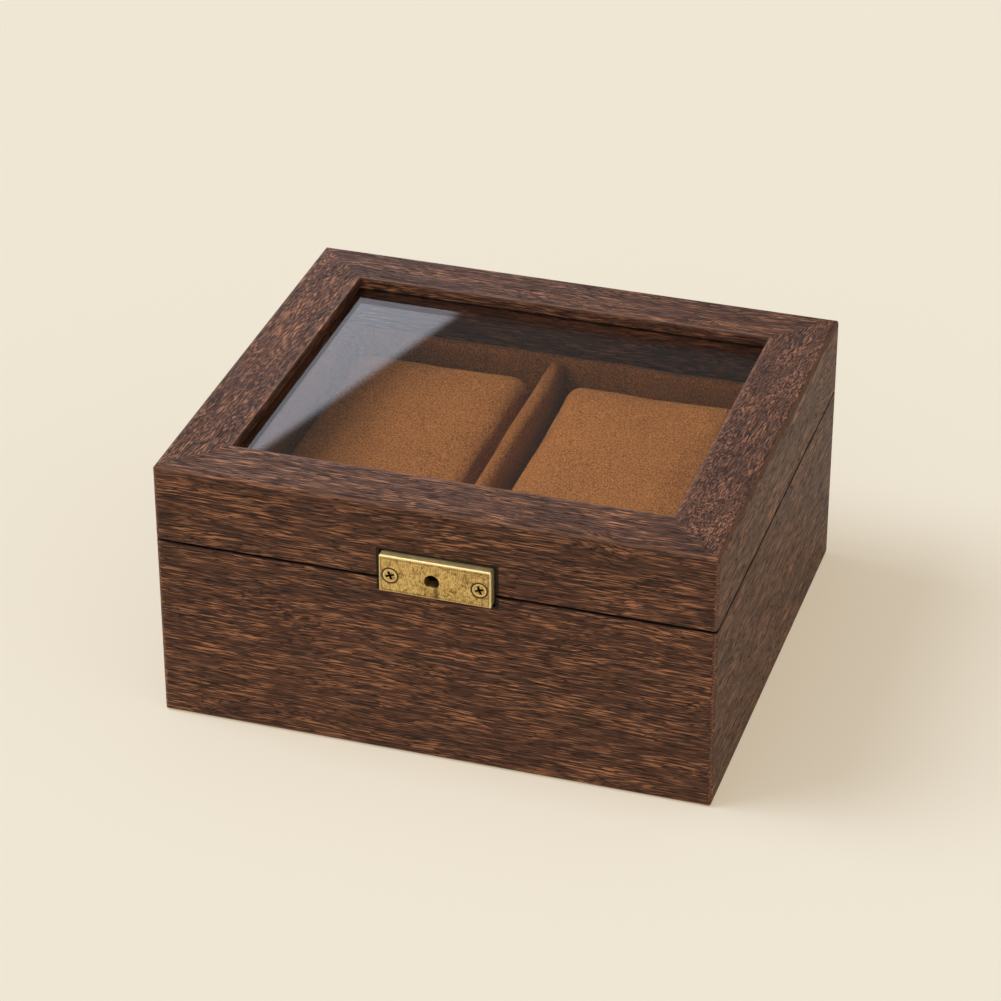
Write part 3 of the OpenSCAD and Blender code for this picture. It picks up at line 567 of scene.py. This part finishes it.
# From a head's middle: where its bright rim, a painted highlight, starts and is full, and its dark edge, a
# painted shade.
RIM_FROM, RIM_SHARE = (SCREW_R - 0.6, SCREW_R - 0.4), 0.7
EDGE_FROM = SCREW_R - 0.25, SCREW_R - 0.05


def plate_screw_brass():
    """The face plate's screws, with painted highlights on their rims, and painted shade at their edges and in
    their crosses.
    """
    made, tree, shader = material("plate_screw_brass", Metallic=0.85)
    place = place_mm(tree)
    patina = use(tree, PATINA, Place=place, Bright=SCREW_BRIGHT, Tarnish=SCREW_TARNISH, Age=PLATE_AGE)
    cross_shaded = tree.step(tree.minus(tree.axes(place)[1], SCREW_LOW.y), *CROSS_DEPTH)
    from_middle = use(tree, SCREW_DISTANCE, Place=place)["Distance"]
    rim = tree.times(tree.step(from_middle, *RIM_FROM), RIM_SHARE)
    rimmed = tree.blend(rim, patina["Color"], SCREW_RIM)
    edged = tree.blend(tree.step(from_middle, *EDGE_FROM), rimmed, PLATE_DARK)
    tree.put(tree.blend(cross_shaded, edged, CROSS_SHADE), shader["Base Color"])
    tree.put(tree.greater(cross_shaded, patina["Roughness"]), shader["Roughness"])
    return made


def clear_glass():
    """Plain glass that lets the lamps' light through to the pillows."""
    made, tree, _ = material(
        "clear_glass", Base_Color=(1.0, 1.0, 1.0, 1.0), Roughness=0.0, Transmission_Weight=1.0, IOR=1.5)
    nodes = made.node_tree.nodes
    passed = tree.add("ShaderNodeBsdfTransparent")
    passed.inputs["Color"].default_value = (0.9, 0.9, 0.9, 1.0)
    shadow = tree.add("ShaderNodeLightPath").outputs["Is Shadow Ray"]
    mixed = tree.mixed_shaders(shadow, nodes["Principled BSDF"].outputs[0], passed.outputs[0])
    tree.put(mixed, nodes["Material Output"].inputs["Surface"])
    return made


FELT_FIBRES = Figure((1.3, 1.3, 1.3), detail=4.0, roughness=0.75, distortion=1.2)
RUBBER_DUST = Figure((0.9, 0.9, 0.9), detail=3.0, roughness=0.6)
FOAM_CELLS = Figure((2.0, 2.0, 2.0), roughness=0.6)


def pressed_felt():
    made, tree, shader = material("pressed_felt", Roughness=0.95, Specular_IOR_Level=0.2)
    fibres = tree.noise(place_mm(tree), FELT_FIBRES)
    tree.put(tree.blend(fibres, linear(34, 28, 26), linear(70, 60, 54)), shader["Base Color"])
    tree.put(tree.bump(fibres, strength=0.5, distance=0.0003), shader["Normal"])
    return made


def soft_rubber():
    made, tree, shader = material("soft_rubber", Specular_IOR_Level=0.4)
    dust = tree.noise(place_mm(tree), RUBBER_DUST)
    tree.put(tree.blend(dust, linear(24, 23, 22), linear(52, 50, 48)), shader["Base Color"])
    tree.put(tree.spread(dust, 0.5, 0.7), shader["Roughness"])
    return made


def foam_finish():
    made, tree, shader = material("foam", Roughness=1.0)
    cells = tree.noise(place_mm(tree), FOAM_CELLS)
    tree.put(tree.blend(cells, linear(180, 160, 120), linear(222, 208, 170)), shader["Base Color"])
    tree.put(tree.bump(cells, strength=0.6, distance=0.0004), shader["Normal"])
    return made


# Copper and fuzz are given together: (copper, fuzz) for the top, then for the sides.
BOARDS = {
    "base_front_wall": Board(False, (0.7, 0.1), (0.7, 0.05)),
    "base_back_wall": Board(False, (0.6, 0.1), (0.6, 0.06)),
    # The last number paints the side boards' upright faces greyer: a painted sheen.
    "base_left_wall": Board(True, (0.5, 0.1), (0.5, 0.06), sheen_grey=0.3),
    "base_right_wall": Board(True, (0.4, 0.1), (0.65, 0.03), sheen_grey=0.5),
    "lid_front_rail": Board(False, (0.9, 0.08), (0.65, 0.05)),
    "lid_back_rail": Board(False, (0.7, 0.12), (0.6, 0.05), slope=0.04),
    "lid_left_rail": Board(True, (1.0, 0.12), (0.5, 0.06), slope=0.12, sheen_grey=0.3),
    "lid_right_rail": Board(True, (0.7, 0.13), (0.65, 0.03), slope=0.15, sheen_grey=0.5),
    "glass_bead_front": Board(False, (0.3, 0.1), (0.3, 0.1)),
    "glass_bead_back": Board(False, (0.3, 0.1), (0.3, 0.1)),
    "glass_bead_left": Board(True, (0.3, 0.1), (0.3, 0.1)),
    "glass_bead_right": Board(True, (0.3, 0.1), (0.3, 0.1)),
}
PLAIN_BOARD = Board(False, (0.2, 0.1), (0.2, 0.1))
BOARD_SHIFT = Vector((37.0, 23.0, 11.0))       # how far apart the boards lie in the figure
HINGE_LEAVES = [f"hinge_{side}_{part}_leaf" for side in ("left", "right") for part in ("base", "lid")]


def dress(made, *nodes):
    """Gives CAD nodes their finish."""
    for node in nodes:
        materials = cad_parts[node].data.materials
        materials.clear()
        materials.append(made)


def dress_wood():
    for number, (node, board) in enumerate(BOARDS.items()):
        dress(wood(node + "_wood", board, BOARD_SHIFT * number), node)
    dress(wood("card_board", PLAIN_BOARD, (9, 4, 2)), "pillow_left_board", "pillow_right_board")
    dress(wood("floor_board", PLAIN_BOARD, (70, 50, 30)), "base_floor_panel")


def dress_metal():
    dress(plate_brass(), "lock_plate")
    dress(plate_screw_brass(), "lock_plate_screws")
    dress(aged_metal("keyhole_brass", linear(96, 74, 42), linear(26, 18, 10), 0.8), "lock_rotor")
    dress(aged_metal("aged_brass", linear(214, 176, 104), linear(124, 90, 40), 0.6),
          "strike_plate", *HINGE_LEAVES)
    dress(aged_metal("screw_brass", linear(206, 168, 96), linear(96, 70, 32), 0.8),
          "strike_screws", "hinge_base_screws", "hinge_lid_screws")
    dress(aged_metal("plain_steel", linear(176, 174, 170), linear(110, 106, 100), 0.5),
          "lock_case", "lock_bolt", "lock_spring", "hinge_left_pin", "hinge_right_pin")


def dress_nodes():
    dress_wood()
    dress_metal()
    dress(foam_finish(), "pillow_left_core", "pillow_right_core")
    dress(pressed_felt(), "base_felt")
    dress(soft_rubber(), "rim_bumpers")
    dress(clear_glass(), "glass_pane")


# ---------- soft pieces ----------

LINING = suede("suede_lining", linear(100, 57, 22), linear(172, 106, 48))
COVER = suede("suede_cover", linear(118, 69, 30), linear(190, 123, 63), (31, 7, 3))
# Sizes are in millimetres.
PILLOW_CELL = 2.0                              # spacing of a pillow's mesh
PILLOW_ROUND = 5.6                             # radius of its rolled edges
PILLOW_START = 0.5                             # how far it starts inside its place, before it swells
PILLOW_REACH = 1.1                             # the furthest that a point may swell
PILLOW_FOOT = 1.5                              # height of the foot that is held while it swells
PUFF_PRESSURE, PUFF_FRAMES = 4.0, 20
PANEL_INSET = 6.2                              # from a side's ends to the seam round its panel
PANEL_DROP = 5.4                               # from the top to that seam
PANEL_LIFT = 2.0                               # from the foot to that seam
PANEL_ROUND = 5.0                              # radius of the seam's corners
PANEL_FROM, PANEL_FULL = 0.80, 0.95            # shares of the half width between which a side's panel begins
PANEL_SINK, PANEL_EASE = 0.45, 2.0             # how far the panel lies back, and how wide its slope is
SEAM_DEPTH, SEAM_WIDTH = 1.5, 1.1
UNEVEN, UNEVEN_LENGTH = 0.3, 13.0              # depth and length of its unevenness
UNEVEN_FULL = 6.0                              # height above the foot from which that is full
LINING_CELL, PAD_CELL = 1.7, 4.0
LINING_WAVE = 0.5                              # depth of the padded boards' waves
TOP_WAVE_LENGTH, FACE_WAVE_LENGTH = 21.0, 17.0
TOP_WAVE_DEEP = 14.0                           # how far below a board's top the top's wave starts
TOP_WAVE_SINK, TOP_WAVE_SHIFT = 0.4, Vector((0, 0, 9))
PAD_ROUND = 0.6                                # radius of a floor pad's edge, as a share of its thickness
SMOOTHER = 1                                   # how many times a soft piece is subdivided


def quad_box(cells):
    """A closed box of quads from -1 to 1, with the given number of cells along each axis."""
    made = bmesh.new()
    corners_made = {}

    def corner(spot):
        if spot not in corners_made:
            corners_made[spot] = made.verts.new([2 * step / count - 1 for step, count in zip(spot, cells)])
        return corners_made[spot]

    for axis in range(3):
        across, up = (axis + 1) % 3, (axis + 2) % 3
        for end in (0, cells[axis]):
            for first in range(cells[across]):
                for second in range(cells[up]):
                    ring = []
                    for step_across, step_up in ((0, 0), (1, 0), (1, 1), (0, 1)):
                        spot = [0, 0, 0]
                        spot[axis] = end
                        spot[across] = first + step_across
                        spot[up] = second + step_up
                        ring.append(corner(tuple(spot)))
                    made.faces.new(ring if end else ring[::-1])
    return made


def soft_piece(name, node, body, finish, cell, shape):
    """A closed mesh of even quads in a CAD node's box, which it replaces. Shape moves each point, given in
    millimetres from the box's middle."""
    low, high = corners(node)
    half, middle = (high - low) / 2, (high + low) / 2
    cells = [max(2, round(2 * side / cell)) for side in half]
    made = quad_box(cells)
    for vertex in made.verts:
        spot = Vector([share * side for share, side in zip(vertex.co, half)])
        vertex.co = (shape(spot, half) + middle) * MM
    mesh = bpy.data.meshes.new(name)
    made.to_mesh(mesh)
    made.free()
    for face in mesh.polygons:
        face.use_smooth = True
    piece = bpy.data.objects.new(name, mesh)
    bpy.context.scene.collection.objects.link(piece)
    mesh.materials.append(finish)
    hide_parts(node)
    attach(piece, body)
    return piece


def smoothed(piece):
    piece.modifiers.new("round", "SUBSURF").render_levels = SMOOTHER


def smooth_share(value, low, high):
    share = min(max((value - low) / (high - low), 0.0), 1.0)
    return share * share * (3 - 2 * share)


def clamped(value, limit):
    return min(max(value, -limit), limit)


def cushion_shape(spot, half):
    """A box with rounded edges, a little smaller than its place, so that it has room to swell."""
    size = Vector((half.x - PILLOW_START, half.y - PILLOW_START, half.z - PILLOW_START / 2))
    spot = Vector((spot.x * size.x / half.x, spot.y * size.y / half.y, spot.z * size.z / half.z))
    inner = Vector([clamped(value, limit - PILLOW_ROUND) for value, limit in zip(spot, size)])
    spot = inner + (spot - inner).normalized() * PILLOW_ROUND
    spot.z += PILLOW_START / 4
    return spot


def puff_up(piece, foot, reach):
    """Blows a cushion up as cloth with its foot held, and keeps every point within reach of where it was."""
    vertices = piece.data.vertices
    start = [vertex.co.copy() for vertex in vertices]
    held = piece.vertex_groups.new(name="foot")
    held.add([vertex.index for vertex in vertices if vertex.co.z < foot * MM], 1.0, "REPLACE")
    cloth = piece.modifiers.new("cloth", "CLOTH")
    cloth.settings.use_pressure = True
    cloth.settings.uniform_pressure_force = PUFF_PRESSURE
    cloth.settings.vertex_group_mass = held.name
    cloth.settings.effector_weights.gravity = 0.0
    cloth.point_cache.frame_start, cloth.point_cache.frame_end = 1, PUFF_FRAMES
    scene = bpy.context.scene
    for number in range(1, PUFF_FRAMES + 1):
        scene.frame_set(number)
    swollen = piece.evaluated_get(bpy.context.evaluated_depsgraph_get()).data.vertices
    grown = [vertex.co.copy() for vertex in swollen]
    piece.modifiers.remove(cloth)
    scene.frame_set(1)
    for vertex, old, new in zip(vertices, start, grown):
        shift = new - old
        vertex.co = old + shift * (reach * MM / (reach * MM + shift.length))


def from_panel(along, up, half_along, low, high):
    """Distance outside the rounded outline of a side's panel, in millimetres."""
    beside = abs(along) - (half_along - PANEL_INSET - PANEL_ROUND)
    above = abs(up - (low + high) / 2) - ((high - low) / 2 - PANEL_ROUND)
    outside = math.hypot(max(beside, 0.0), max(above, 0.0))
    return outside + min(max(beside, above), 0.0) - PANEL_ROUND


def sew_panels(piece, half, middle):
    """Draws the seam round each side's panel into the cushion, and gives it a slight hand-made unevenness."""
    low, high = PANEL_LIFT - half.z, half.z - PANEL_DROP
    for vertex in piece.data.vertices:
        spot = vertex.co / MM - middle
        for axis, other in ((0, 1), (1, 0)):
            weight = smooth_share(abs(spot[axis]) / half[axis], PANEL_FROM, PANEL_FULL)
            far = from_panel(spot[other], spot.z, half[other], low, high)
            depth = SEAM_DEPTH * math.exp(-(far / SEAM_WIDTH) ** 2)
            depth += PANEL_SINK * smooth_share(-far, 0.0, PANEL_EASE)
            spot[axis] -= math.copysign(depth * weight, spot[axis])
        uneven = noise.noise_vector((spot + middle) / UNEVEN_LENGTH) * UNEVEN
        rise = smooth_share(spot.z, -half.z, UNEVEN_FULL - half.z)
        vertex.co = (spot + uneven * rise + middle) * MM


def make_pillow(side):
    node = f"pillow_{side}_cover"
    low, high = corners(node)
    piece = soft_piece(f"pillow_{side}_suede", node, f"pillow_{side}", COVER, PILLOW_CELL,
                       cushion_shape)
    puff_up(piece, low.z + PILLOW_FOOT, PILLOW_REACH)
    sew_panels(piece, (high - low) / 2, (high + low) / 2)
    smoothed(piece)


def board_shape(along, faces):
    """A padded board's shape: its top is rounded across its thickness, and its top and its free faces are a
    little uneven. Faces is the side on which it stands free, or 0 for both."""
    across = 1 - along

    def shape(spot, half):
        radius = half[across]
        over = spot.z - (half.z - radius)
        place = spot.copy()
        if over > 0:
            out = Vector((spot[across], over)).normalized() * radius
            spot[across] = out.x
            spot.z = half.z - radius + out.y
        free = 1.0 if spot[across] * faces >= 0 else 0.0
        lift = smooth_share(spot.z, half.z - TOP_WAVE_DEEP, half.z)
        top_wave = noise.noise(place / TOP_WAVE_LENGTH + TOP_WAVE_SHIFT) - TOP_WAVE_SINK
        spot.z += LINING_WAVE * lift * top_wave
        spot[across] += LINING_WAVE * free * noise.noise(place / FACE_WAVE_LENGTH)
        return spot

    return shape


def pad_shape(spot, half):
    """A thin pad whose upper edges are rounded."""
    radius = 2 * half.z * PAD_ROUND
    if spot.z > 0:
        inner = Vector((clamped(spot.x, half.x - radius), clamped(spot.y, half.y - radius), half.z - radius))
        spot = inner + (spot - inner).normalized() * radius
    return spot


def make_lining():
    """The padded boards round the compartments and between them, and the pads on their floors."""
    for node, along, faces in (("liner_front", 0, 1), ("liner_back", 0, -1), ("liner_left", 1, 1),
                               ("liner_right", 1, -1), ("divider", 1, 0)):
        piece = soft_piece(node + "_suede", node, "base", LINING, LINING_CELL,
                           board_shape(along, faces))
        smoothed(piece)
    for side in ("left", "right"):
        node = f"floor_pad_{side}"
        piece = soft_piece(node + "_suede", node, "base", LINING, PAD_CELL, pad_shape)


# ---------- floor, lamps and surroundings ----------

FLOOR_COLOUR = linear(237, 226, 208)
FLOOR_SEEN = linear(239, 244, 242)             # its paper where it is seen, before the glow warms it
FLOOR_GLOW = linear(240, 215, 178)
GLOW_SHARE = 0.5
FLOOR_HALF = 8.0
# The soft box that shows in the glass: two points of its edge as seen there, as pixels of the picture.
EDGE_NEAR_PX, EDGE_FAR_PX = (268.0, 450.0), (470.0, 311.0)
PICTURE_PX = 1001
SOFT_BOX_AWAY = 1.3
SOFT_BOX_SIZE = 1.1, 0.7
SOFT_BOX_LIGHT = 2.4                           # how bright its face is, where 1 is white
SOFT_BOX_COLOUR = 0.85, 0.88, 1.0
SOFT_BOX_EDGE, SOFT_BOX_FADE = 0.010, 0.3      # widths of its soft edge and its slow fade, as shares of it
SOFT_BOX_DIM, SOFT_BOX_FULL = 0.55, 1.1        # its strength at the start and at the end of the slow fade
FRONT_LIGHT, BACK_LIGHT, CEILING_LIGHT = 0.70, 0.12, 0.7
WALLS_FROM, WALLS_TO = 0.05, 0.55              # how far back a direction looks where the walls start to dim
CEILING_FROM, CEILING_TO = 0.62, 0.9           # how far up a direction looks where the ceiling starts
ROOM_COLOUR = 1.0, 0.975, 0.94, 1.0
SUN_FROM = Vector((-0.60, -0.14, 0.78))
SUN_LIGHT, SUN_WIDTH = 0.45, 0.6               # share of the floor's light, and its angle in radians
SUN_COLOUR = 0.97, 0.99, 1.0


def make_floor():
    """A wide sheet of pale paper. Where it is seen, it partly glows by itself, which keeps shadows light."""
    mesh = bpy.data.meshes.new("floor")
    half = FLOOR_HALF
    ring = [(-half, -half, 0), (half, -half, 0), (half, half, 0), (-half, half, 0)]
    mesh.from_pydata(ring, [], [(0, 1, 2, 3)])
    floor = bpy.data.objects.new("floor", mesh)
    bpy.context.scene.collection.objects.link(floor)
    made, tree, shader = material("seamless_paper", Roughness=0.95, Specular_IOR_Level=0.0)
    nodes = made.node_tree.nodes
    glow = tree.add("ShaderNodeEmission")
    glow.inputs["Color"].default_value = FLOOR_GLOW
    rays = tree.add("ShaderNodeLightPath").outputs
    mirrored = tree.greater(rays["Is Glossy Ray"], rays["Is Transmission Ray"])
    seen = tree.greater(rays["Is Camera Ray"], mirrored)
    tree.put(tree.blend(seen, FLOOR_COLOUR, FLOOR_SEEN), shader["Base Color"])
    glowing = tree.times(seen, GLOW_SHARE)
    mixed = tree.mixed_shaders(glowing, nodes["Principled BSDF"].outputs[0], glow.outputs[0])
    tree.put(mixed, nodes["Material Output"].inputs["Surface"])
    mesh.materials.append(made)


def seen_in_glass(pixel):
    """The point on the glass that a pixel of the picture shows, and the direction that the glass mirrors."""
    turn = (CAMERA_AIM - CAMERA_AT).to_track_quat("-Z", "Y").to_matrix()
    across = (pixel[0] / PICTURE_PX - 0.5) * SENSOR / LENS
    down = (pixel[1] / PICTURE_PX - 0.5) * SENSOR / LENS
    look = turn @ Vector((across, -down, -1.0))
    glass_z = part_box("glass_pane")[1].z
    hit = CAMERA_AT + look * ((glass_z - CAMERA_AT.z) / look.z)
    return hit, Vector((look.x, look.y, -look.z)).normalized()


def soft_box_place():
    """Where the soft box hangs, so that one of its edges lies where the glass shows it in the picture."""
    (near, look_near), (far, look_far) = seen_in_glass(EDGE_NEAR_PX), seen_in_glass(EDGE_FAR_PX)
    first, second = near + look_near * SOFT_BOX_AWAY, far + look_far * SOFT_BOX_AWAY
    back = (look_near + look_far).normalized()
    along = (second - first).normalized()
    along = (along - back * along.dot(back)).normalized()
    inward = back.cross(along)
    if inward.x > 0:
        inward = -inward
    centre = (first + second) / 2 + inward * SOFT_BOX_SIZE[1] / 2
    turn = Matrix((along, back.cross(along), back)).transposed()
    return Matrix.Translation(centre) @ turn.to_4x4()


def make_soft_box():
    """The soft box behind and left of the case. It only shows in glass and gloss, and fades to its edges."""
    data = bpy.data.lights.new("soft_box_back", "AREA")
    data.shape = "RECTANGLE"
    data.size, data.size_y = SOFT_BOX_SIZE
    data.energy = SOFT_BOX_LIGHT * math.pi * data.size * data.size_y
    data.color = SOFT_BOX_COLOUR
    lamp = bpy.data.objects.new("soft_box_back", data)
    lamp.visible_diffuse = False
    bpy.context.scene.collection.objects.link(lamp)
    lamp.matrix_world = soft_box_place()
    data.use_nodes = True
    tree = Tree(data.node_tree)
    across, up, _ = tree.axes(tree.add("ShaderNodeNewGeometry").outputs["Parametric"])
    from_side, from_end = [tree.lesser(share, tree.minus(1.0, share)) for share in (across, up)]
    nearest = tree.lesser(from_side, from_end)
    sharp, slow = tree.step(nearest, 0.0, SOFT_BOX_EDGE), tree.step(nearest, 0.0, SOFT_BOX_FADE)
    faded = tree.times(sharp, tree.spread(slow, SOFT_BOX_DIM, SOFT_BOX_FULL))
    tree.put(faded, data.node_tree.nodes["Emission"].inputs["Strength"])


def make_world():
    """Bright surroundings with a dim wall behind, and the floor's colour where the camera looks past it."""
    world = bpy.data.worlds.new("studio")
    bpy.context.scene.world = world
    world.use_nodes = True
    tree = Tree(world.node_tree)
    nodes = world.node_tree.nodes
    lit = nodes["Background"]
    _, depth, rise = tree.axes(tree.add("ShaderNodeTexCoord").outputs["Generated"])
    walls = tree.spread(tree.step(depth, WALLS_FROM, WALLS_TO), FRONT_LIGHT, BACK_LIGHT)
    ceiling = tree.step(rise, CEILING_FROM, CEILING_TO)
    above = tree.times(ceiling, tree.minus(CEILING_LIGHT, walls))
    tree.put(tree.plus(walls, above), lit.inputs["Strength"])
    lit.inputs["Color"].default_value = ROOM_COLOUR
    seen = tree.add("ShaderNodeBackground")
    seen.inputs["Color"].default_value = FLOOR_COLOUR
    camera_ray = tree.add("ShaderNodeLightPath").outputs["Is Camera Ray"]
    mixed = tree.mixed_shaders(camera_ray, lit.outputs[0], seen.outputs[0])
    tree.put(mixed, nodes["World Output"].inputs["Surface"])


def make_sun():
    data = bpy.data.lights.new("sun", "SUN")
    data.energy = SUN_LIGHT * math.pi / SUN_FROM.normalized().z
    data.angle = SUN_WIDTH
    data.color = SUN_COLOUR
    sun = bpy.data.objects.new("sun", data)
    sun.rotation_euler = SUN_FROM.to_track_quat("Z", "Y").to_euler()
    bpy.context.scene.collection.objects.link(sun)


make_camera()
dress_nodes()
make_lining()
make_pillow("left")
make_pillow("right")
make_floor()
make_soft_box()
make_sun()
make_world()
bpy.context.scene.view_settings.view_transform = "Standard"
